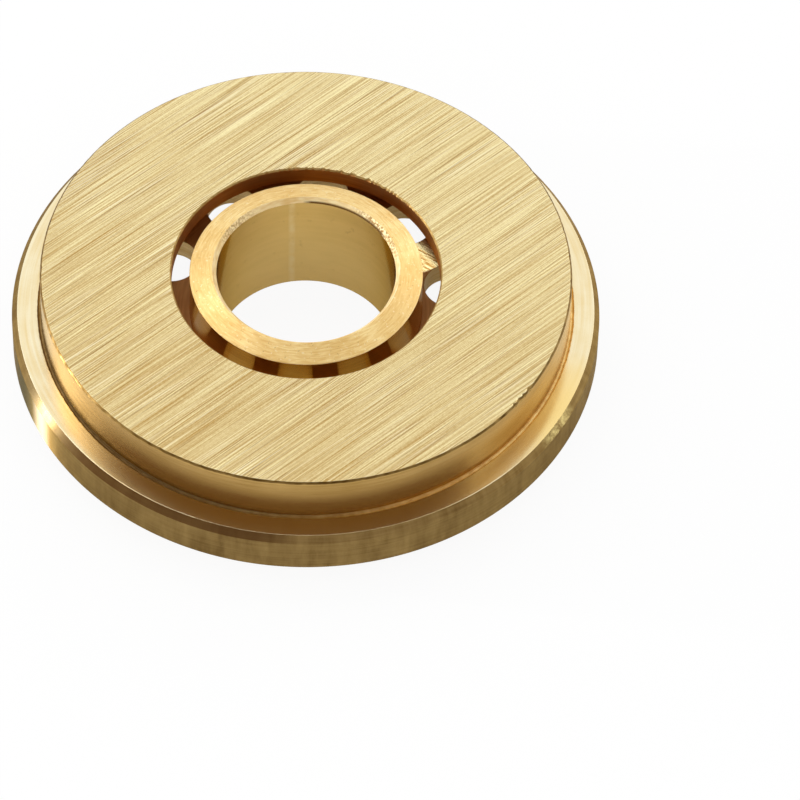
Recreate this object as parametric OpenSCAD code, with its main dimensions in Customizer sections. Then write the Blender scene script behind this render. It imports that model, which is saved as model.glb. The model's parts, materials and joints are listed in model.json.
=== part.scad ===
// Pasta extrusion die for one smooth, wide tube.
// A flanged die body is bored through to a short outlet land. A hollow mandrel insert, seated in the
// body's back, holds its core concentric in that land and feeds dough to it through a ring of holes.
// Millimetres. +Z points out of the outlet face, and the origin is the centre of the mandrel's tail end.

/* [Die body] */
// Diameter of the boss that stands through the ring nut
boss_d = 51.3; // [49:0.1:60]
// Height of the boss above the flange
boss_h = 5; // [4:0.1:10]
// Chamfer round the rim of the outlet face
boss_chamfer = 0.18; // [0.05:0.01:0.6]
// Radius of the round-bottomed relief groove at the foot of the boss
relief_r = 0.2; // [0.1:0.01:0.4]
// Bite of the relief groove into the wall of the boss
relief_bite = 0.04; // [0.01:0.01:0.08]
// Width of the ledge that the flange leaves round the boss
ledge_w = 2.85; // [2.2:0.05:8]
// Thickness of the flange
flange_t = 4.4; // [3.6:0.1:8]
// Radial width of the chamfer on the flange's front edge
flange_chamfer_w = 0.53; // [0.1:0.01:1.2]
// Height of the chamfer on the flange's front edge
flange_chamfer_h = 0.69; // [0.1:0.01:2]

/* [Outlet] */
// Bore of the outlet land, which sets the outside of the pasta tube
land_d = 26; // [24:0.1:30]
// Length of the outlet land
land_h = 1.9; // [1.2:0.1:3.2]
// Chamfer round the mouth of the outlet
land_chamfer = 0.14; // [0.05:0.01:0.4]
// Gap between the land and the mandrel, which sets the wall of the pasta tube
outlet_gap = 1.75; // [1.2:0.05:2.2]

/* [Chamber] */
// Height of the tapered chamber between the feed holes and the land
chamber_h = 3.7; // [2.4:0.05:4.8]
// Margin of the chamber's wide end outside the ring of feed holes
chamber_margin = 0.6; // [0.2:0.1:1.5]

/* [Mandrel insert] */
// Bore through the mandrel
bore_d = 17.3; // [14:0.1:18]
// Depth of the tip's outer edge below the outlet face
tip_drop = 0.27; // [0.05:0.01:0.6]
// Height of the tip's inner rim above the outlet face
tip_rise = 0.41; // [0.1:0.01:0.8]
// Radial width of the chamfer from the tip's inner rim down to the bore
tip_chamfer_w = 0.41; // [0.2:0.01:0.8]
// Height of the chamfer from the tip's inner rim down to the bore
tip_chamfer_h = 0.5; // [0.1:0.01:0.8]
// Thickness of the plate that carries the mandrel
plate_t = 2.35; // [1.6:0.05:3.2]
// Length of the mandrel's tail behind the back of the body
tail_len = 2.65; // [0.6:0.05:8]
// Chamfer round the tail's end and the plate's back edge
insert_chamfer = 0.3; // [0.1:0.05:0.5]

/* [Feed holes] */
// Number of feed holes in the plate
feed_count = 10; // [6:1:12]
// Diameter of one feed hole
feed_d = 5.25; // [3.6:0.05:5.8]
// Metal left between the feed holes and the mandrel
feed_root = 0.54; // [0.2:0.02:0.8]
// Angle of the first feed hole
feed_angle = 13.4; // [0:0.1:36]

/* [Insert seat] */
// Width of the shoulder in the body that the plate seats against
seat_w = 2; // [1:0.1:3]
// Radial clearance of the plate in its counterbore
seat_clearance = 0.02; // [0.01:0.01:0.1]
// Lead-in chamfer at the counterbore's mouth
seat_lead = 0.4; // [0.1:0.05:0.8]

/* [Hidden] */
$fn = 192;
groove_fn = 48;
cut = 0.5;

// Heights, from the tail's end up to the outlet face
back_z = tail_len;
flange_z = back_z + flange_t;
face_z = flange_z + boss_h;
land_z = face_z - land_h;
seat_z = land_z - chamber_h;
plate_z = seat_z - plate_t;

// Radii, from the axis outwards
bore_r = bore_d / 2;
land_r = land_d / 2;
mandrel_r = land_r - outlet_gap;
feed_pitch_r = mandrel_r + feed_root + feed_d / 2;
chamber_r = feed_pitch_r + feed_d / 2 + chamber_margin;
plate_r = chamber_r + seat_w;
seat_r = plate_r + seat_clearance;
boss_r = boss_d / 2;
flange_r = boss_r + ledge_w;

// Half section of the body, from the outlet mouth round the outside and back up the inside
function body_section() = [
    [land_r + land_chamfer, face_z],
    [boss_r - boss_chamfer, face_z],
    [boss_r, face_z - boss_chamfer],
    [boss_r, flange_z],
    [flange_r - flange_chamfer_w, flange_z],
    [flange_r, flange_z - flange_chamfer_h],
    [flange_r, back_z],
    [seat_r + seat_lead, back_z],
    [seat_r, back_z + seat_lead],
    [seat_r, seat_z],
    [chamber_r, seat_z],
    [land_r, land_z],
    [land_r, face_z - land_chamfer]
];

// Half section of the insert, from the tail's end round the plate and up to the coned tip
function insert_section() = [
    [bore_r, 0],
    [mandrel_r - insert_chamfer, 0],
    [mandrel_r, insert_chamfer],
    [mandrel_r, plate_z],
    [plate_r - insert_chamfer, plate_z],
    [plate_r, plate_z + insert_chamfer],
    [plate_r, seat_z],
    [mandrel_r, seat_z],
    [mandrel_r, face_z - tip_drop],
    [bore_r + tip_chamfer_w, face_z + tip_rise],
    [bore_r, face_z + tip_rise - tip_chamfer_h]
];

// Groove that clears the corner at the foot of the boss for the ring nut
module relief_groove() {
    rotate_extrude()
        translate([boss_r - relief_bite + relief_r, flange_z])
            circle(r = relief_r, $fn = groove_fn);
}

// Ring of straight holes through the insert's plate
module feed_holes() {
    for (i = [0 : feed_count - 1])
        rotate(feed_angle + i * 360 / feed_count)
            translate([feed_pitch_r, 0, plate_z - cut])
                cylinder(d = feed_d, h = plate_t + 2 * cut);
}

// Flanged body with the outlet land, the tapered chamber and the counterbore for the insert
module die_body() {
    color("#d8bf76")
        difference() {
            rotate_extrude()
                polygon(body_section());
            relief_groove();
        }
}

// Hollow mandrel and the pierced plate that carries it, turned from one piece
module mandrel_insert() {
    color("#d9b660")
        difference() {
            rotate_extrude()
                polygon(insert_section());
            feed_holes();
        }
}

die_body();
mandrel_insert();
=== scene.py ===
"""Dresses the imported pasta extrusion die.

Turned brass meshes with worn edges stand for both solids, in procedural brass finishes and a white studio.
"""
import json
import math

import bmesh
import bpy
from mathutils import Matrix, Vector, noise


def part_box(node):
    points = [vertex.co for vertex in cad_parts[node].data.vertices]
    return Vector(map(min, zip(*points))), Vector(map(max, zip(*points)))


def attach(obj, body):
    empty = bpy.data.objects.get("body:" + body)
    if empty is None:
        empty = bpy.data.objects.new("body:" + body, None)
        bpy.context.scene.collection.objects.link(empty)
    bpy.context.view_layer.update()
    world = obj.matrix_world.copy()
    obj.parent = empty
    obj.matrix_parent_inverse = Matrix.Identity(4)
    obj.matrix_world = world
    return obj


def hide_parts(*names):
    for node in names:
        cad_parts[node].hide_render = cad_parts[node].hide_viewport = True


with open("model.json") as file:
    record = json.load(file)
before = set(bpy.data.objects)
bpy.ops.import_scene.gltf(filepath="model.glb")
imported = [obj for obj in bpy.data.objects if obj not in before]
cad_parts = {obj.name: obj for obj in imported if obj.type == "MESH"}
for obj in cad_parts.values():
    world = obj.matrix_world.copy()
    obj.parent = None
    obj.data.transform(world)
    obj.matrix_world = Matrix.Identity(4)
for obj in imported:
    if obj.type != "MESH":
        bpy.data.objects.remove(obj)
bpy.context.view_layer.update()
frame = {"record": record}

# Sizes of the object are in millimetres; vertices are scaled to metres where they are made
MM = 0.001

# Sizes that the frame gives
mounts = {mount["name"]: mount for mount in frame["record"]["mounts"]}
BOSS_R = mounts["boss_outside"]["dims"]["r_mm"]
FLANGE_R = mounts["flange_outside"]["dims"]["r_mm"]
BORE_R = mounts["mandrel_bore"]["dims"]["r_mm"]
FLANGE_Z = mounts["flange_front"]["pos_m"][2] / MM
BACK_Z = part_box("die_body")[0].z / MM
FACE_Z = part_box("die_body")[1].z / MM
PLATE_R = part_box("mandrel_insert")[1].x / MM
TIP_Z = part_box("mandrel_insert")[1].z / MM

# Sizes of the body's section
BOSS_CHAMFER = 0.18
RELIEF_R = 0.2
RELIEF_BITE = 0.04
FLANGE_CHAMFER_W = 0.53
FLANGE_CHAMFER_H = 0.69
LAND_R = 13.0
LAND_H = 1.9
LAND_CHAMFER = 0.14
CHAMBER_H = 3.7
CHAMBER_R = 17.64
SEAT_CLEARANCE = 0.02
SEAT_LEAD = 0.4

# Sizes of the insert's section
MANDREL_R = 11.25
TIP_DROP = 0.27
TIP_CHAMFER_W = 0.41
TIP_CHAMFER_H = 0.5
PLATE_T = 2.35
INSERT_CHAMFER = 0.3
FEED_COUNT = 10
FEED_R = 2.625
FEED_PITCH_R = 14.415
FEED_ANGLE = 13.4
FEED_RIM = 0.14

# Heights and radii that follow
LAND_Z = FACE_Z - LAND_H
SEAT_Z = LAND_Z - CHAMBER_H
PLATE_Z = SEAT_Z - PLATE_T
SEAT_R = PLATE_R + SEAT_CLEARANCE
RELIEF_CENTRE_R = BOSS_R - RELIEF_BITE + RELIEF_R

# Radii that the corners are rounded with
NOT_ROUNDED = 0
GROOVE_EDGE = 0.02
FINE_EDGE = 0.03
WORN_EDGE = 0.04
BROKEN_EDGE = 0.05
FLANGE_EDGE = 0.06
BACK_EDGE = 0.12

# Fineness of the meshes
BODY_SEGMENTS = 760
INSERT_SEGMENTS = 640
FEED_SEGMENTS = 72
ARC_STEPS = 3
GROOVE_STEPS = 8

# Rings beside a rounded corner that keep the flat beyond it flat: largest distance, share of the stretch,
# and the share of the corner's wear that they follow, along the stretch only
SUPPORTS = ((0.08, 0.2, 0.75), (0.16, 0.4, 0.4))

# The camera that the photograph was fitted with: the outlet face's centre falls on TARGET_PX
IMAGE_PX = 800
FOCAL_PX = 5976.57
TARGET_PX = (306.2, 271.5)
CAMERA_DISTANCE = 575.65
CAMERA_ELEVATION = math.radians(52.005)
CAMERA_ROLL = math.radians(-1.582)
CAMERA_CLIP_START = 0.01
SENSOR_MM = 36.0

# Tints that keep the walls warm where they are seen edge on
BORE_EDGE_TINT = (0.66, 0.56, 0.38, 1.0)
FLANGE_EDGE_TINT = (0.36, 0.33, 0.26, 1.0)

# Brush strokes on the outlet face: their direction from +X, and the UV map that carries it
STROKE_ANGLE = math.radians(42.5)
STROKE_MAP = "strokes"

# Layers of brush strokes: length and width, turn from the common direction, and share of the tone
BRUSH_LAYERS = (
    (15.0, 0.085, 0.0, 0.36),
    (24.0, 0.11, 0.014, 0.28),
    (32.0, 0.26, -0.012, 0.13),
    (40.0, 1.0, 0.0, 0.07),
)
BRUSH_GRAIN_SHARE = 0.16
DARK_SCRATCHES = (14.0, 0.10, 0.02)
BRIGHT_SCRATCHES = (15.0, 0.10, -0.015)
SCRATCH_SHARE = 0.75

# Painted light on the outlet face: the direction in which it grows paler, from where to where along it,
# and how much that adds to the tone
PAINTED_LIGHT_SIDE = (0.5, 0.866, 0.0)
PAINTED_LIGHT_SPAN = (-20.0, 25.0)
PAINTED_LIGHT_GAIN = (-0.008, 0.036)

# Stretches of the noise that the finishes spread their colours and their roughness over
BRUSHED_TONES = (0.375, 0.625)
BRUSHED_GLOSS = (0.37, 0.63)
TURNED_TONES = (0.34, 0.66)
TURNED_GLOSS = (0.35, 0.65)
TARNISHED_TONES = (0.36, 0.64)

# Depth of the marks on a polished surface
POLISHED = 0.0001

# Rotation of anisotropic highlights that draws them across the marks, in turns
ACROSS_MARKS = 0.25

# The tip's scraped chamfer is dull, so it shows little of the studio
TIP_EDGE_METALLIC = 0.45

# Thin film on the tarnished flange
FILM_WEIGHT = 0.15
FILM_ROUGHNESS = 0.25

# Places of stains, rubbed strips, and painted light and shade round the axis: angle and half width in
# degrees
# Painted shade on one side of the boss's wall
BOSS_PAINTED_SHADE = (189, 16)
BOSS_GOLDEN = (321, 10)
GROOVE_DARK_SIDE = (218, 75)
LEDGE_YELLOW = (333, 16)
# Painted shade on the flange's chamfer: brown on one side, and dimmed over its highlight at one place
CHAMFER_PAINTED_DARK_SIDE = (243, 28)
CHAMFER_PAINTED_SHADE = (206, 7)
CHAMFER_RUBBED = (330.5, 6)
# Painted shade and a painted highlight on the flange's side
FLANGE_PAINTED_SHADE = (199, 9)
FLANGE_PAINTED_HIGHLIGHT = (208.5, 4)
# Painted shade on two sides of the tip
TIP_PAINTED_SHADE = ((203, 50), (350, 45))
TIP_SCRAPES = ((36, 28), (143, 20))
# Painted shadow along one stretch of the tip's inner chamfer
TIP_PAINTED_SHADOW = (62, 32)
# Painted highlight: an upright pale line in the bore
BORE_PAINTED_HIGHLIGHT = (101, 2.6)
TORN_WEB = (31.4, 9)

# Heights and radii between which such marks fade in
BOSS_GOLDEN_Z = 9.0
BOSS_GOLDEN_REACH = (1.8, 0.4)
TIP_PAINTED_SHADOW_Z = (12.18, 12.06)
BORE_PALE_Z = (10.5, 3.5)
TORN_WEB_R = (15.2, 14.6)

# The web left torn by the drill: its marks' turn from the brush strokes, and the tilt of its surface
TORN_TURN = math.radians(-75)
TORN_LEAN = (-0.19, -0.27, 0.0)

# Places of nicks, dents and burrs round the axis: angle and half width in degrees
RIM_NICKED = (238, 60)
RIM_DENT = (181, 0.9)
RIM_BRUISES = ((322.6, 0.4), (324.3, 1.1), (325.9, 0.5), (327.8, 0.8))
MOUTH_BURRS = (74, 60)
FLANGE_WORN = (329, 6)
TIP_BURRS = ((143, 16), (41, 20))

# Depths of nicks, dents and burrs
RIM_NICK_DEPTH = 0.07
RIM_NICK_EXTRA = 0.11
RIM_DENT_DEPTH = 0.06
RIM_BRUISE_DEPTH = 0.16
MOUTH_BURR_DEPTH = 0.2
MOUTH_FINE_DEPTH = 0.01
GROOVE_TORN_DEPTH = 0.045
GROOVE_WAVY_DEPTH = 0.02
FLANGE_WORN_DEPTH = 0.1
FLANGE_NICK_DEPTH = 0.03
TIP_BURR_DEPTH = 0.05
TIP_FINE_DEPTH = 0.008
TIP_NICK_OUT = 0.03
TIP_NICK_DOWN = 0.02

# Finishes of the two pieces, in the order of their material slots
BODY_FINISHES = (
    "brushed", "edge", "boss_wall", "groove", "ledge", "chamfer", "flange", "back", "inside", "mouth")
INSERT_FINISHES = ("tip", "tip_edge", "bore", "stem", "plate", "feed_hole", "inside", "back")

# The studio: white where it is seen, a soft fill where it lights things; its distances are in metres
WORLD_SEEN = 1.0
WORLD_LIGHT = 0.9
FLOOR_SIZE = 6.0
FLOOR_DROP = 0.02 * MM
FLOOR_COLOUR = (0.92, 0.92, 0.92, 1.0)
FLOOR_GLOW = 0.92
FLOOR_MIRRORED = 0.15

# Softboxes: name, azimuth and elevation in degrees, size and power
SOFTBOXES = (
    ("key_softbox", 177, 4, (0.03, 0.14), 3.0),
    ("back_softbox", 140, 55, (0.3, 0.3), 0.4),
    ("right_softbox", 50, 32, (0.3, 0.3), 0.3),
)
SOFTBOX_DISTANCE = 0.6

# Curtain: first and last azimuth, lowest and highest elevation in degrees
CURTAIN_AZIMUTHS = (176, 345)
CURTAIN_ELEVATIONS = (32, 76)
CURTAIN_DISTANCE = 0.45
CURTAIN_COLOUR = (116, 86, 50)
CURTAIN_STEPS = 24


def linear(red, green, blue):
    """An sRGB colour of 0 to 255 as a linear RGBA colour."""
    channels = [value / 255 for value in (red, green, blue)]
    curve = [c / 12.92 if c <= 0.04045 else ((c + 0.055) / 1.055) ** 2.4 for c in channels]
    return (*curve, 1.0)


class Finish:
    """One brass finish: a metallic Principled shader and the nodes that feed it."""

    def __init__(self, name, anisotropy=0.0):
        self.material = bpy.data.materials.new(name)
        self.material.use_nodes = True
        self.tree = self.material.node_tree
        self.shader = self.tree.nodes["Principled BSDF"]
        self.constant("Metallic", 1.0)
        self.constant("Anisotropic", anisotropy)
        self.constant("Anisotropic Rotation", ACROSS_MARKS)
        object_coords = self.add("ShaderNodeTexCoord").outputs["Object"]
        self.place = self.vector("SCALE", object_coords, Scale=1 / MM)
        axes = self.add("ShaderNodeSeparateXYZ", {0: self.place}).outputs
        self.height = axes["Z"]
        self.flat = self.add("ShaderNodeCombineXYZ", {"X": axes["X"], "Y": axes["Y"]}).outputs[0]
        self.radius = self.vector("LENGTH", self.flat)
        self.base = None

    def constant(self, name, value):
        """Sets one of the shader's own sockets to a value that is the same all over."""
        self.shader.inputs[name].default_value = value

    def add(self, kind, inputs=(), **settings):
        """A new node, with its settings and its inputs set to values or linked to sockets."""
        node = self.tree.nodes.new(kind)
        for name, value in settings.items():
            setattr(node, name, value)
        for key, value in dict(inputs).items():
            self.feed(node.inputs[key], value)
        return node

    def feed(self, socket, value):
        """Links a socket to another, or sets it to a value."""
        if isinstance(value, bpy.types.NodeSocket):
            self.tree.links.new(value, socket)
        else:
            socket.default_value = value

    def math(self, operation, *values):
        """A Math node's result."""
        return self.add("ShaderNodeMath", enumerate(values), operation=operation).outputs[0]

    def vector(self, operation, *values, **named):
        """A Vector Math node's result."""
        node = self.add("ShaderNodeVectorMath", [*enumerate(values), *named.items()], operation=operation)
        return node.outputs["Value" if operation in ("LENGTH", "DOT_PRODUCT") else "Vector"]

    def mixture(self, *shares):
        """The sum of values, each times its weight."""
        total = 0.0
        for value, weight in shares:
            total = self.math("ADD", self.math("MULTIPLY", value, weight), total)
        return total

    def both(self, first, second):
        """A mask that holds where both masks do."""
        return self.math("MULTIPLY", first, second)

    def noise(self, coords, scale=1.0, detail=2.0, roughness=0.5):
        """Noise of about 0 to 1."""
        inputs = {"Vector": coords, "Scale": scale, "Detail": detail, "Roughness": roughness}
        return self.add("ShaderNodeTexNoise", inputs).outputs[0]

    def spread(self, value, low, high, to_low=0.0, to_high=1.0):
        """Maps low..high to to_low..to_high, clamped."""
        inputs = {0: value, 1: low, 2: high, 3: to_low, 4: to_high}
        return self.add("ShaderNodeMapRange", inputs).outputs[0]

    def specks(self, low, high, scale, detail=2.0, roughness=0.5):
        """A mask of scattered spots, from 0 where the noise is low to 1 where it is high."""
        return self.spread(self.noise(self.place, scale, detail, roughness), low, high)

    def blend(self, factor, first, second):
        """A mix of two colours."""
        node = self.add("ShaderNodeMix", {0: factor, 6: first, 7: second}, data_type="RGBA")
        return node.outputs[2]

    def strokes(self, length, width, turn=0.0):
        """Coordinates that stretch a pattern along the face's brush strokes."""
        rotation = (0, 0, STROKE_ANGLE + turn)
        inputs = {"Vector": self.place, "Rotation": rotation, "Scale": (length, width, 1)}
        return self.add("ShaderNodeMapping", inputs, vector_type="TEXTURE").outputs[0]

    def rings(self, along, per_mm, waves):
        """Coordinates with per_mm steps along the radius or height, and few waves round the axis."""
        around = self.vector("SCALE", self.vector("NORMALIZE", self.flat), Scale=waves)
        across = self.math("MULTIPLY", along, per_mm)
        return self.vector("ADD", around, self.add("ShaderNodeCombineXYZ", {"Z": across}).outputs[0])

    def facing(self, degrees, width):
        """1 in the direction at that angle round the axis, falling to 0 at width degrees to either side."""
        angle = math.radians(degrees)
        aim = (math.cos(angle), math.sin(angle), 0)
        toward_aim = self.vector("DOT_PRODUCT", self.vector("NORMALIZE", self.flat), aim)
        return self.spread(toward_aim, math.cos(math.radians(width)), 1.0)

    def relief(self, height, depth):
        """Feeds the shader's normal with a bump of that depth in millimetres."""
        inputs = {"Height": height, "Distance": depth * MM, "Strength": 1.0}
        self.feed(self.shader.inputs["Normal"], self.add("ShaderNodeBump", inputs).outputs[0])

    def lean(self, tilt, share):
        """Tilts the shader's normal by a share of a vector."""
        socket = self.shader.inputs["Normal"]
        tilted = self.vector("ADD", socket.links[0].from_socket, self.vector("SCALE", tilt, Scale=share))
        self.feed(socket, self.vector("NORMALIZE", tilted))

    def marks_along(self, **direction):
        """Gives the shader the direction of the marks, which its highlights lie across."""
        tangent = self.add("ShaderNodeTangent", **direction)
        self.feed(self.shader.inputs["Tangent"], tangent.outputs[0])

    def colour(self, value):
        """Sets the base colour."""
        self.base = value
        self.feed(self.shader.inputs["Base Color"], value)

    def stain_and_painted_light(self, mask, colour, share=1.0):
        """Lays a share of an sRGB colour over the base colour where the mask holds, for real marks and for
        painted light and shade.
        """
        factor = self.math("MULTIPLY", mask, share)
        self.colour(self.blend(factor, self.base, linear(*colour)))

    def roughness(self, value):
        """Sets the roughness."""
        self.feed(self.shader.inputs["Roughness"], value)


def brushed_finish():
    """Outlet face: long, fine, straight strokes of several widths, with a few dark and bright scratches."""
    finish = Finish("brass_brushed", anisotropy=0.55)
    shares = [(finish.noise(finish.place, scale=9.0, detail=1.0), BRUSH_GRAIN_SHARE)]
    for length, width, turn, weight in BRUSH_LAYERS:
        shares.append((finish.noise(finish.strokes(length, width, turn), detail=1.0), weight))
    tone = finish.mixture(*shares)
    dark = finish.spread(finish.noise(finish.strokes(*DARK_SCRATCHES), detail=1.0), 0.59, 0.68)
    bright = finish.spread(finish.noise(finish.strokes(*BRIGHT_SCRATCHES), detail=1.0), 0.60, 0.70)
    # Painted light: the face's tone grows paler towards one side
    toward_pale = finish.vector("DOT_PRODUCT", finish.place, PAINTED_LIGHT_SIDE)
    paler = finish.spread(toward_pale, *PAINTED_LIGHT_SPAN, *PAINTED_LIGHT_GAIN)
    shade = finish.spread(finish.math("ADD", tone, paler), *BRUSHED_TONES)
    finish.colour(finish.blend(shade, linear(186, 144, 70), linear(255, 242, 188)))
    finish.stain_and_painted_light(dark, (158, 118, 58), share=SCRATCH_SHARE)
    finish.stain_and_painted_light(bright, (255, 244, 206), share=SCRATCH_SHARE)
    finish.roughness(finish.spread(tone, *BRUSHED_GLOSS, 0.46, 0.34))
    finish.relief(finish.math("SUBTRACT", tone, finish.math("MULTIPLY", dark, 0.3)), depth=0.004)
    finish.marks_along(direction_type="UV_MAP", uv_map=STROKE_MAP)
    return finish


def turned_finish(
        name, dark, light, roughness, per_mm=4.0, waves=3.0, depth=0.001, upright=True, anisotropy=0.4):
    """A lathe-turned surface: fine marks that run round the axis, and slow drifts of tone.

    dark and light are sRGB colours, and roughness is a range from the lightest to the darkest tone.
    """
    finish = Finish(name, anisotropy=anisotropy)
    along = finish.height if upright else finish.radius
    marks = finish.noise(finish.rings(along, per_mm, waves), detail=1.0)
    drift = finish.noise(finish.place, scale=0.35, detail=3.0)
    tone = finish.mixture((marks, 0.6), (drift, 0.4))
    finish.colour(finish.blend(finish.spread(tone, *TURNED_TONES), linear(*dark), linear(*light)))
    smoothest, roughest = roughness
    finish.roughness(finish.spread(tone, *TURNED_GLOSS, roughest, smoothest))
    finish.relief(marks, depth)
    finish.marks_along(direction_type="RADIAL", axis="Z")
    return finish


def tarnished_finish(name, dark, light, roughness):
    """Dulled olive brass of the flange, with upright smudges and faint turning marks.

    dark and light are sRGB colours, and roughness is a range from the lightest to the darkest tone.
    """
    finish = Finish(name, anisotropy=1.0)
    finish.constant("Specular Tint", FLANGE_EDGE_TINT)
    finish.constant("Coat Weight", FILM_WEIGHT)
    finish.constant("Coat Roughness", FILM_ROUGHNESS)
    smudge = finish.noise(finish.rings(finish.height, per_mm=0.22, waves=26.0), detail=4.0, roughness=0.6)
    fine = finish.noise(finish.rings(finish.height, per_mm=5.0, waves=4.0))
    patch = finish.noise(finish.place, scale=0.28, detail=3.0)
    tone = finish.mixture((smudge, 0.45), (fine, 0.25), (patch, 0.3))
    finish.colour(finish.blend(finish.spread(tone, *TARNISHED_TONES), linear(*dark), linear(*light)))
    smoothest, roughest = roughness
    finish.roughness(finish.spread(tone, *TARNISHED_TONES, roughest, smoothest))
    finish.relief(fine, depth=0.0015)
    finish.marks_along(direction_type="RADIAL", axis="Z")
    return finish


def boss_wall_finish():
    """Boss's wall: finely turned, with painted shade on one side and a golden patch on the other."""
    finish = turned_finish(
        "brass_boss_wall", (182, 146, 80), (200, 164, 98), (0.19, 0.25), depth=POLISHED, anisotropy=0.9)
    # Painted shade: a darker band on one side of the boss's wall, in place of a dark reflection
    finish.stain_and_painted_light(finish.facing(*BOSS_PAINTED_SHADE), (122, 94, 43))
    away = finish.math("ABSOLUTE", finish.math("SUBTRACT", finish.height, BOSS_GOLDEN_Z))
    golden = finish.both(finish.facing(*BOSS_GOLDEN), finish.spread(away, *BOSS_GOLDEN_REACH))
    finish.stain_and_painted_light(golden, (166, 124, 44))
    return finish


def groove_finish():
    """Relief groove: torn by the tool, and darker on one side."""
    finish = turned_finish("brass_groove", (226, 188, 116), (246, 214, 146), (0.45, 0.6), waves=40.0)
    finish.stain_and_painted_light(finish.facing(*GROOVE_DARK_SIDE), (80, 50, 20), share=0.8)
    return finish


def ledge_finish():
    """Flange's front ledge: polished, and yellower at one place."""
    finish = turned_finish(
        "brass_ledge", (240, 218, 166), (252, 240, 204), (0.14, 0.18),
        per_mm=3.0, upright=False, depth=POLISHED)
    finish.stain_and_painted_light(finish.facing(*LEDGE_YELLOW), (252, 222, 148))
    return finish


def chamfer_finish():
    """Flange's front edge: tarnished, with painted shade on one side and at one place, rubbed bright at
    another.
    """
    finish = tarnished_finish("brass_chamfer", (130, 100, 50), (172, 142, 86), (0.36, 0.44))
    # Painted shade: brown on one side, in place of a dark reflection
    finish.stain_and_painted_light(finish.spread(finish.facing(*CHAMFER_PAINTED_DARK_SIDE), 0.0, 0.5), (100, 64, 24), share=0.8)
    # Painted shade: dims the highlight at one place
    finish.stain_and_painted_light(finish.facing(*CHAMFER_PAINTED_SHADE), (100, 84, 46), share=0.6)
    flecks = finish.specks(0.36, 0.66, scale=1.7, detail=3.0, roughness=0.7)
    finish.stain_and_painted_light(finish.both(finish.facing(*CHAMFER_RUBBED), flecks), (250, 226, 150))
    return finish


def flange_finish():
    """Flange's side: tarnished, with painted shade beside a painted highlight strip."""
    finish = tarnished_finish("brass_flange_side", (128, 100, 52), (168, 139, 84), (0.32, 0.38))
    # Painted shade beside the highlight
    finish.stain_and_painted_light(finish.facing(*FLANGE_PAINTED_SHADE), (100, 92, 62), share=0.9)
    # Painted highlight: a pale strip where the lamp's highlight falls
    finish.stain_and_painted_light(finish.facing(*FLANGE_PAINTED_HIGHLIGHT), (240, 234, 220), share=0.22)
    return finish


def tip_finish():
    """Mandrel tip: close concentric marks with pale flecks and dark pits, and painted shade on two sides."""
    finish = turned_finish(
        "brass_tip", (232, 192, 118), (254, 228, 164), (0.38, 0.46),
        per_mm=8.0, waves=9.0, depth=0.002, upright=False, anisotropy=0.3)
    # Painted shade: dims the tip's highlights on two sides
    dull = finish.math("MAXIMUM", *(finish.facing(*side) for side in TIP_PAINTED_SHADE))
    finish.stain_and_painted_light(dull, (212, 172, 104), share=0.5)
    flecks = finish.specks(0.64, 0.74, scale=4.5, detail=1.0)
    finish.stain_and_painted_light(flecks, (255, 240, 200), share=0.5)
    pits = finish.specks(0.66, 0.76, scale=3.2, roughness=0.7)
    finish.stain_and_painted_light(pits, (150, 104, 50), share=0.6)
    return finish


def tip_edge_finish():
    """Chamfer inside the tip: scraped at two places, smooth elsewhere, with a painted shadow along one
    stretch.
    """
    finish = turned_finish("brass_tip_edge", (236, 202, 136), (255, 238, 190), (0.66, 0.76), waves=8.0)
    finish.constant("Metallic", TIP_EDGE_METALLIC)
    deep, slight = (finish.facing(*scrape) for scrape in TIP_SCRAPES)
    scraped = finish.math("MAXIMUM", deep, finish.math("MULTIPLY", slight, 0.6))
    scratch = finish.noise(finish.rings(finish.height, per_mm=6.0, waves=40.0), detail=1.5, roughness=0.6)
    rough = finish.blend(finish.spread(scratch, 0.4, 0.6), linear(172, 130, 66), linear(255, 238, 190))
    finish.colour(finish.blend(scraped, finish.base, rough))
    # Painted shadow: a dark line along the chamfer's lower edge on one stretch
    low = finish.spread(finish.height, *TIP_PAINTED_SHADOW_Z)
    lip = finish.both(finish.spread(finish.facing(*TIP_PAINTED_SHADOW), 0.0, 0.3), low)
    finish.stain_and_painted_light(lip, (112, 82, 36))
    finish.relief(finish.both(scratch, scraped), depth=0.02)
    return finish


def bore_finish():
    """Reamed bore: nearly a mirror, with faint rings, small stains, a paler foot and one painted highlight
    line.
    """
    finish = turned_finish(
        "brass_bore", (230, 198, 122), (237, 205, 130), (0.1, 0.16),
        per_mm=1.6, waves=2.0, depth=POLISHED, anisotropy=0.3)
    finish.constant("Specular Tint", BORE_EDGE_TINT)
    stains = finish.specks(0.62, 0.76, scale=1.1, detail=3.0, roughness=0.65)
    finish.stain_and_painted_light(stains, (166, 122, 58), share=0.35)
    finish.stain_and_painted_light(finish.spread(finish.height, *BORE_PALE_Z), (255, 232, 160), share=0.4)
    # Painted highlight: a pale upright line on the bore's wall, its strength varying along it
    worn = finish.spread(finish.noise(finish.place, scale=0.9), 0.35, 0.7, 0.12, 0.42)
    finish.stain_and_painted_light(finish.both(finish.facing(*BORE_PAINTED_HIGHLIGHT), worn), (255, 244, 196))
    return finish


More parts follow.
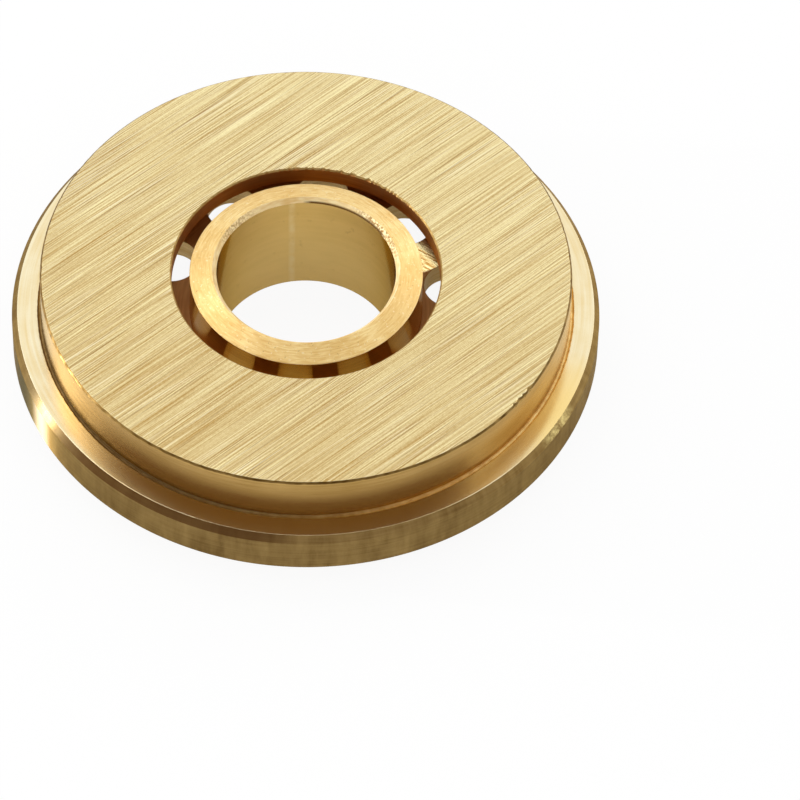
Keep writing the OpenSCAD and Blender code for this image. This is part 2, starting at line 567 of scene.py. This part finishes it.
def plate_finish():
    """Plate between the feed holes: turned, with one web left rough."""
    finish = turned_finish(
        "brass_plate", (202, 148, 90), (226, 178, 120), (0.62, 0.72), upright=False, anisotropy=0.0)
    web = finish.both(finish.facing(*TORN_WEB), finish.spread(finish.radius, *TORN_WEB_R))
    torn_web = finish.spread(web, 0.1, 0.3)
    torn = finish.noise(finish.strokes(length=1.4, width=0.2, turn=TORN_TURN), roughness=0.6)
    rough = finish.blend(finish.spread(torn, 0.36, 0.6), linear(190, 140, 64), linear(255, 240, 180))
    finish.colour(finish.blend(torn_web, finish.base, rough))
    finish.roughness(finish.spread(torn_web, 0.0, 1.0, 0.68, 0.25))
    finish.relief(finish.both(torn, torn_web), depth=0.02)
    finish.lean(TORN_LEAN, torn_web)
    return finish


def make_finishes():
    """Every finish by name."""
    return {
        "brushed": brushed_finish(),
        "boss_wall": boss_wall_finish(),
        "edge": turned_finish("brass_edge", (98, 72, 32), (160, 130, 76), (0.42, 0.52), waves=30.0),
        "groove": groove_finish(),
        "ledge": ledge_finish(),
        "chamfer": chamfer_finish(),
        "flange": flange_finish(),
        "back": turned_finish("brass_back", (190, 160, 100), (220, 192, 132), (0.28, 0.4), upright=False),
        "inside": turned_finish("brass_inside", (204, 150, 90), (224, 172, 110), (0.36, 0.46)),
        "mouth": turned_finish("brass_mouth", (160, 128, 70), (202, 172, 112), (0.5, 0.6), waves=24.0),
        "tip": tip_finish(),
        "tip_edge": tip_edge_finish(),
        "bore": bore_finish(),
        "stem": turned_finish(
            "brass_stem", (238, 176, 64), (250, 192, 80), (0.15, 0.19), depth=POLISHED, anisotropy=1.0),
        "plate": plate_finish(),
        "feed_hole": turned_finish("brass_feed_hole", (236, 202, 132), (254, 228, 170), (0.22, 0.32)),
    }


def ragged(angle, waves, seed):
    """Smooth noise from -1 to 1 round the axis."""
    return noise.noise(Vector((math.cos(angle) * waves, math.sin(angle) * waves, seed)))


def chipped(angle, waves, seed):
    """Separate chips round the axis, from 0 where there is none to 1."""
    return min(1.0, 3 * max(0.0, ragged(angle, waves, seed)))


def nicked(angle, waves, seed, threshold):
    """Scattered nicks round the axis, where the noise is over a threshold."""
    return max(0.0, ragged(angle, waves, seed) - threshold)


def near(angle, degrees, width):
    """1 at an angle, falling smoothly to 0 at width degrees away."""
    away = (math.degrees(angle) - degrees + 180) % 360 - 180
    return max(0.0, 1 - (away / width) ** 2) ** 2


def boss_rim_wear(angle):
    """Nicks on the boss's rim, deepest on one stretch, one dent and a row of bruises."""
    nick_depth = RIM_NICK_DEPTH + RIM_NICK_EXTRA * near(angle, *RIM_NICKED)
    nick = nick_depth * nicked(angle, waves=95, seed=1.3, threshold=0.2)
    dent = RIM_DENT_DEPTH * near(angle, *RIM_DENT)
    bruise = RIM_BRUISE_DEPTH * max(near(angle, *place) for place in RIM_BRUISES)
    return -nick - dent - bruise, -0.5 * nick - 0.5 * bruise


def mouth_wear(angle):
    """Burrs round the outlet's mouth, coarse on one stretch and fine all round."""
    burrs = chipped(angle, waves=50, seed=2.2) - 0.3
    coarse = MOUTH_BURR_DEPTH * near(angle, *MOUTH_BURRS) * burrs
    fine = MOUTH_FINE_DEPTH * ragged(angle, waves=120, seed=7.7)
    return coarse + fine, -0.3 * abs(coarse)


def groove_wear(angle):
    """The groove's lip, left ragged by the tool."""
    torn = GROOVE_TORN_DEPTH * ragged(angle, waves=130, seed=3.9)
    wavy = GROOVE_WAVY_DEPTH * ragged(angle, waves=40, seed=8.2)
    return torn + wavy, 0.0


def flange_wear(angle):
    """Handling marks on the flange's front edges, with one worn stretch."""
    worn = FLANGE_WORN_DEPTH * chipped(angle, waves=70, seed=7.1) * near(angle, *FLANGE_WORN)
    nick = FLANGE_NICK_DEPTH * nicked(angle, waves=60, seed=5.5, threshold=0.3)
    dent = FLANGE_NICK_DEPTH * nicked(angle, waves=75, seed=6.4, threshold=0.3)
    return -nick - worn, -dent - 0.5 * worn


def tip_rim_wear(angle):
    """Burrs on the tip's inner rim, in two patches."""
    patch = sum(near(angle, *place) for place in TIP_BURRS)
    coarse = TIP_BURR_DEPTH * patch * ragged(angle, waves=110, seed=9.4)
    fine = TIP_FINE_DEPTH * ragged(angle, waves=60, seed=1.9)
    burr = coarse + fine
    return burr, -0.6 * abs(burr)


def tip_foot_wear(angle):
    """Fine nicks on the tip's outer edge."""
    out = TIP_NICK_OUT * nicked(angle, waves=80, seed=2.8, threshold=0.2)
    down = TIP_NICK_DOWN * nicked(angle, waves=66, seed=3.3, threshold=0.0)
    return -out, -down


def groove_corners():
    """The relief groove's stretch of the body's section, from the boss's wall to the ledge."""
    start = math.pi - math.acos((RELIEF_R - RELIEF_BITE) / RELIEF_R)
    corners = []
    for step in range(GROOVE_STEPS + 1):
        angle = start + (2 * math.pi - start) * step / GROOVE_STEPS
        r = RELIEF_CENTRE_R + RELIEF_R * math.cos(angle)
        z = FLANGE_Z + RELIEF_R * math.sin(angle)
        corners.append((r, z, NOT_ROUNDED, "groove", None))
    corners[0] = (*corners[0][:2], GROOVE_EDGE, "groove", None)
    corners[-1] = (*corners[-1][:2], GROOVE_EDGE, "ledge", groove_wear)
    return corners


def body_corners():
    """Half section of the body as (radius, height, rounding, finish of the next stretch, wear)."""
    return [
        (LAND_R + LAND_CHAMFER, FACE_Z, FINE_EDGE, "brushed", mouth_wear),
        (BOSS_R - BOSS_CHAMFER, FACE_Z, FINE_EDGE, "edge", boss_rim_wear),
        (BOSS_R, FACE_Z - BOSS_CHAMFER, WORN_EDGE, "boss_wall", boss_rim_wear),
        *groove_corners(),
        (FLANGE_R - FLANGE_CHAMFER_W, FLANGE_Z, FINE_EDGE, "chamfer", flange_wear),
        (FLANGE_R, FLANGE_Z - FLANGE_CHAMFER_H, FLANGE_EDGE, "flange", flange_wear),
        (FLANGE_R, BACK_Z, BACK_EDGE, "back", None),
        (SEAT_R + SEAT_LEAD, BACK_Z, BROKEN_EDGE, "back", None),
        (SEAT_R, BACK_Z + SEAT_LEAD, BROKEN_EDGE, "inside", None),
        (SEAT_R, SEAT_Z, BROKEN_EDGE, "inside", None),
        (CHAMBER_R, SEAT_Z, BROKEN_EDGE, "inside", None),
        (LAND_R, LAND_Z, BROKEN_EDGE, "inside", None),
        (LAND_R, FACE_Z - LAND_CHAMFER, FINE_EDGE, "mouth", mouth_wear),
    ]


def insert_corners():
    """Half section of the insert in two open stretches: round the mandrel, and round the plate's edge."""
    inner_r = FEED_PITCH_R - FEED_R - 2 * FEED_RIM
    outer_r = FEED_PITCH_R + FEED_R + 2 * FEED_RIM
    mandrel = [
        (inner_r, PLATE_Z, NOT_ROUNDED, "back", None),
        (MANDREL_R, PLATE_Z, BROKEN_EDGE, "back", None),
        (MANDREL_R, INSERT_CHAMFER, BROKEN_EDGE, "back", None),
        (MANDREL_R - INSERT_CHAMFER, 0, BROKEN_EDGE, "back", None),
        (BORE_R, 0, BROKEN_EDGE, "bore", None),
        (BORE_R, TIP_Z - TIP_CHAMFER_H, WORN_EDGE, "tip_edge", tip_rim_wear),
        (BORE_R + TIP_CHAMFER_W, TIP_Z, WORN_EDGE, "tip", tip_rim_wear),
        (MANDREL_R, FACE_Z - TIP_DROP, WORN_EDGE, "stem", tip_foot_wear),
        (MANDREL_R, SEAT_Z, BROKEN_EDGE, "plate", None),
        (inner_r, SEAT_Z, NOT_ROUNDED, "plate", None),
    ]
    plate_edge = [
        (outer_r, SEAT_Z, NOT_ROUNDED, "plate", None),
        (PLATE_R, SEAT_Z, BROKEN_EDGE, "inside", None),
        (PLATE_R, PLATE_Z + INSERT_CHAMFER, BROKEN_EDGE, "back", None),
        (PLATE_R - INSERT_CHAMFER, PLATE_Z, BROKEN_EDGE, "back", None),
        (outer_r, PLATE_Z, NOT_ROUNDED, "back", None),
    ]
    return mandrel, plate_edge


def feed_hole_corners():
    """Half section of one feed hole's wall, with its edges broken."""
    return [
        (FEED_R + FEED_RIM, SEAT_Z, NOT_ROUNDED, "plate", None),
        (FEED_R, SEAT_Z, BROKEN_EDGE, "feed_hole", None),
        (FEED_R, PLATE_Z, BROKEN_EDGE, "back", None),
        (FEED_R + FEED_RIM, PLATE_Z, NOT_ROUNDED, "back", None),
    ]


def slid(wear, along, follow):
    """A share of a corner's wear that only moves points along a stretch, and so leaves it flat."""
    if wear is None:
        return None
    return lambda angle: along * Vector(wear(angle)).dot(along) * follow


def rounded(corners):
    """The section's points, (radius, height, finish of the next stretch, wear), with its corners rounded."""
    outline = []
    count = len(corners)
    for i, (r, z, rounding, finish, wear) in enumerate(corners):
        if rounding == NOT_ROUNDED:
            outline.append((r, z, finish, wear))
            continue
        here = Vector((r, z))
        last_finish = corners[i - 1][3]
        before = Vector(corners[i - 1][:2]) - here
        after = Vector(corners[(i + 1) % count][:2]) - here
        back, ahead = before.normalized(), after.normalized()
        half = back.angle(ahead) / 2
        reach = rounding / math.tan(half)
        centre = here + (back + ahead).normalized() * rounding / math.sin(half)
        start = here + back * reach - centre
        end = here + ahead * reach - centre
        first_angle = math.atan2(start.y, start.x)
        sweep = (math.atan2(end.y, end.x) - first_angle + math.pi) % (2 * math.pi) - math.pi
        for gap, share, follow in reversed(SUPPORTS):
            point = here + back * (reach + min(gap, share * before.length))
            outline.append((point.x, point.y, last_finish, slid(wear, back, follow)))
        for step in range(ARC_STEPS + 1):
            angle = first_angle + sweep * step / ARC_STEPS
            arc_finish = last_finish if step < ARC_STEPS / 2 else finish
            point = centre + rounding * Vector((math.cos(angle), math.sin(angle)))
            outline.append((point.x, point.y, arc_finish, wear))
        for gap, share, follow in SUPPORTS:
            point = here + ahead * (reach + min(gap, share * after.length))
            outline.append((point.x, point.y, finish, slid(wear, ahead, follow)))
    return outline


def revolve(mesh, outline, segments, slots, closed, centre=(0.0, 0.0)):
    """Turns an outline about an upright axis; returns its rings of vertices."""
    rings = []
    for r, z, _, wear in outline:
        ring = []
        for step in range(segments):
            angle = 2 * math.pi * step / segments
            out, up = wear(angle) if wear else (0.0, 0.0)
            x = centre[0] + (r + out) * math.cos(angle)
            y = centre[1] + (r + out) * math.sin(angle)
            ring.append(mesh.verts.new((x * MM, y * MM, (z + up) * MM)))
        rings.append(ring)
    for i in range(len(rings) if closed else len(rings) - 1):
        ring, following = rings[i], rings[(i + 1) % len(rings)]
        for step in range(segments):
            beside = (step + 1) % segments
            face = mesh.faces.new((ring[step], ring[beside], following[beside], following[step]))
            face.material_index = slots[outline[i][2]]
    return rings


def fill_plate(mesh, loops, slot):
    """Fills the flat ring between two circles, round the feed holes' circles."""
    edges = []
    for loop in loops:
        edges += [mesh.edges.get((loop[i - 1], loop[i])) for i in range(len(loop))]
    made = bmesh.ops.triangle_fill(mesh, use_beauty=True, edges=edges)
    for face in made["geom"]:
        if isinstance(face, bmesh.types.BMFace):
            face.material_index = slot


def slots_of(names):
    """The material slot of each finish."""
    return {name: slot for slot, name in enumerate(names)}


def piece_from(mesh, name, finishes):
    """A smooth-shaded object from a bmesh, with the finishes in its material slots."""
    bmesh.ops.recalc_face_normals(mesh, faces=mesh.faces)
    data = bpy.data.meshes.new(name)
    for face in mesh.faces:
        face.smooth = True
    mesh.to_mesh(data)
    mesh.free()
    for finish in finishes:
        data.materials.append(finish.material)
    piece = bpy.data.objects.new(name, data)
    bpy.context.scene.collection.objects.link(piece)
    return piece


def lay_strokes(piece):
    """A UV map whose U runs along the brush strokes, which the brushed finish takes its direction from."""
    layer = piece.data.uv_layers.new(name=STROKE_MAP)
    turn = Matrix.Rotation(-STROKE_ANGLE, 2)
    scale = 0.5 / (FLANGE_R * MM)
    middle = Vector((0.5, 0.5))
    for loop in piece.data.loops:
        place = piece.data.vertices[loop.vertex_index].co
        layer.data[loop.index].uv = turn @ Vector((place.x, place.y)) * scale + middle


def build_body(finishes):
    """The flanged die body."""
    mesh = bmesh.new()
    revolve(mesh, rounded(body_corners()), BODY_SEGMENTS, slots_of(BODY_FINISHES), closed=True)
    piece = piece_from(mesh, "die_body_turned", [finishes[name] for name in BODY_FINISHES])
    lay_strokes(piece)
    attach(piece, "root")
    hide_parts("die_body")


def build_insert(finishes):
    """The hollow mandrel and its pierced plate."""
    slots = slots_of(INSERT_FINISHES)
    mesh = bmesh.new()
    mandrel, plate_edge = insert_corners()
    inner = revolve(mesh, rounded(mandrel), INSERT_SEGMENTS, slots, closed=False)
    outer = revolve(mesh, rounded(plate_edge), INSERT_SEGMENTS, slots, closed=False)
    top_loops = [inner[-1], outer[0]]
    back_loops = [inner[0], outer[-1]]
    for i in range(FEED_COUNT):
        angle = math.radians(FEED_ANGLE + i * 360 / FEED_COUNT)
        centre = (FEED_PITCH_R * math.cos(angle), FEED_PITCH_R * math.sin(angle))
        hole = revolve(mesh, rounded(feed_hole_corners()), FEED_SEGMENTS, slots, closed=False, centre=centre)
        top_loops.append(hole[0])
        back_loops.append(hole[-1])
    fill_plate(mesh, top_loops, slots["plate"])
    fill_plate(mesh, back_loops, slots["back"])
    piece = piece_from(mesh, "mandrel_insert_turned", [finishes[name] for name in INSERT_FINISHES])
    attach(piece, "root")
    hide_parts("mandrel_insert")


def build_camera():
    """The photograph's view."""
    right = Vector((1, 0, 0))
    back = Vector((0, -math.cos(CAMERA_ELEVATION), math.sin(CAMERA_ELEVATION)))
    axes = Matrix((right, back.cross(right), back))
    turn = (Matrix.Rotation(CAMERA_ROLL, 3, "Z") @ axes).transposed()
    middle = IMAGE_PX / 2
    ray = Vector(((TARGET_PX[0] - middle) / FOCAL_PX, (middle - TARGET_PX[1]) / FOCAL_PX, -1))
    target = Vector((0, 0, FACE_Z))
    place = (target - turn @ ray * CAMERA_DISTANCE) * MM
    data = bpy.data.cameras.new("photo_camera")
    data.sensor_width = SENSOR_MM
    data.lens = FOCAL_PX / IMAGE_PX * SENSOR_MM
    data.clip_start = CAMERA_CLIP_START
    camera = bpy.data.objects.new("photo_camera", data)
    camera.matrix_world = Matrix.Translation(place) @ turn.to_4x4()
    bpy.context.scene.collection.objects.link(camera)
    bpy.context.scene.camera = camera


def seen_directly(tree, mirrored=1.0):
    """A socket that is 1 for camera rays, mirrored for glossy and transmission rays, and 0 for others."""
    path = tree.nodes.new("ShaderNodeLightPath")
    seen = path.outputs["Is Camera Ray"]
    for name in ("Is Glossy Ray", "Is Transmission Ray"):
        share = tree.nodes.new("ShaderNodeMath")
        share.operation = "MULTIPLY"
        share.inputs[1].default_value = mirrored
        tree.links.new(path.outputs[name], share.inputs[0])
        either = tree.nodes.new("ShaderNodeMath")
        either.operation = "MAXIMUM"
        tree.links.new(seen, either.inputs[0])
        tree.links.new(share.outputs[0], either.inputs[1])
        seen = either.outputs[0]
    return seen


def build_world():
    """White all round where it is seen, and a soft fill where it only lights things."""
    world = bpy.data.worlds.new("studio")
    bpy.context.scene.world = world
    world.use_nodes = True
    tree = world.node_tree
    strength = tree.nodes.new("ShaderNodeMapRange")
    strength.inputs["To Min"].default_value = WORLD_LIGHT
    strength.inputs["To Max"].default_value = WORLD_SEEN
    tree.links.new(seen_directly(tree), strength.inputs["Value"])
    background = tree.nodes["Background"]
    background.inputs["Color"].default_value = (1, 1, 1, 1)
    tree.links.new(strength.outputs[0], background.inputs["Strength"])


def bare_material(name):
    """A material with only its output node: the material, its node tree and the surface socket."""
    material = bpy.data.materials.new(name)
    material.use_nodes = True
    tree = material.node_tree
    tree.nodes.clear()
    output = tree.nodes.new("ShaderNodeOutputMaterial")
    return material, tree, output.inputs["Surface"]


def stage_piece(name, points, faces, material):
    """A mesh of the studio, which isn't part of the object."""
    data = bpy.data.meshes.new(name)
    data.from_pydata(points, [], faces)
    data.materials.append(material)
    piece = bpy.data.objects.new(name, data)
    bpy.context.scene.collection.objects.link(piece)
    return piece


def build_floor():
    """A white floor that keeps a faint shadow."""
    material, tree, surface = bare_material("floor_white")
    diffuse = tree.nodes.new("ShaderNodeBsdfDiffuse")
    diffuse.inputs["Color"].default_value = FLOOR_COLOUR
    glow = tree.nodes.new("ShaderNodeEmission")
    share = tree.nodes.new("ShaderNodeMath")
    share.operation = "MULTIPLY"
    share.inputs[1].default_value = FLOOR_GLOW
    tree.links.new(seen_directly(tree, FLOOR_MIRRORED), share.inputs[0])
    mix = tree.nodes.new("ShaderNodeMixShader")
    tree.links.new(share.outputs[0], mix.inputs[0])
    tree.links.new(diffuse.outputs[0], mix.inputs[1])
    tree.links.new(glow.outputs[0], mix.inputs[2])
    tree.links.new(mix.outputs[0], surface)
    half = FLOOR_SIZE / 2
    points = [(-half, -half, 0), (half, -half, 0), (half, half, 0), (-half, half, 0)]
    floor = stage_piece("floor", points, [(0, 1, 2, 3)], material)
    floor.location.z = -FLOOR_DROP


def toward(azimuth, elevation):
    """Unit vector from the object to a place in the studio, in degrees."""
    azimuth, elevation = math.radians(azimuth), math.radians(elevation)
    flat = math.cos(elevation)
    return Vector((flat * math.cos(azimuth), flat * math.sin(azimuth), math.sin(elevation)))


def build_softbox(name, azimuth, elevation, size, power):
    """A soft lamp that faces the outlet face's centre."""
    data = bpy.data.lights.new(name, "AREA")
    data.shape = "RECTANGLE"
    data.size, data.size_y = size
    data.energy = power
    lamp = bpy.data.objects.new(name, data)
    lamp.visible_camera = False
    direction = toward(azimuth, elevation)
    lamp.location = direction * SOFTBOX_DISTANCE + Vector((0, 0, FACE_Z * MM))
    lamp.rotation_euler = direction.to_track_quat("Z", "Y").to_euler()
    bpy.context.scene.collection.objects.link(lamp)


def build_curtain():
    """A dark curtain behind the camera, seen only as a reflection in the polished walls."""
    material, tree, surface = bare_material("curtain_dark")
    dull = tree.nodes.new("ShaderNodeEmission")
    dull.inputs["Color"].default_value = linear(*CURTAIN_COLOUR)
    tree.links.new(dull.outputs[0], surface)
    first, last = CURTAIN_AZIMUTHS
    points = []
    for step in range(CURTAIN_STEPS + 1):
        azimuth = first + (last - first) * step / CURTAIN_STEPS
        points += [toward(azimuth, elevation) * CURTAIN_DISTANCE for elevation in CURTAIN_ELEVATIONS]
    faces = [(2 * i, 2 * i + 2, 2 * i + 3, 2 * i + 1) for i in range(CURTAIN_STEPS)]
    curtain = stage_piece("curtain", points, faces, material)
    curtain.visible_camera = False
    curtain.visible_diffuse = False
    curtain.visible_transmission = False
    curtain.visible_shadow = False


build_camera()
finishes = make_finishes()
build_body(finishes)
build_insert(finishes)
build_world()
build_floor()
for softbox in SOFTBOXES:
    build_softbox(*softbox)
build_curtain()

bpy.context.scene.view_settings.view_transform = "Standard"
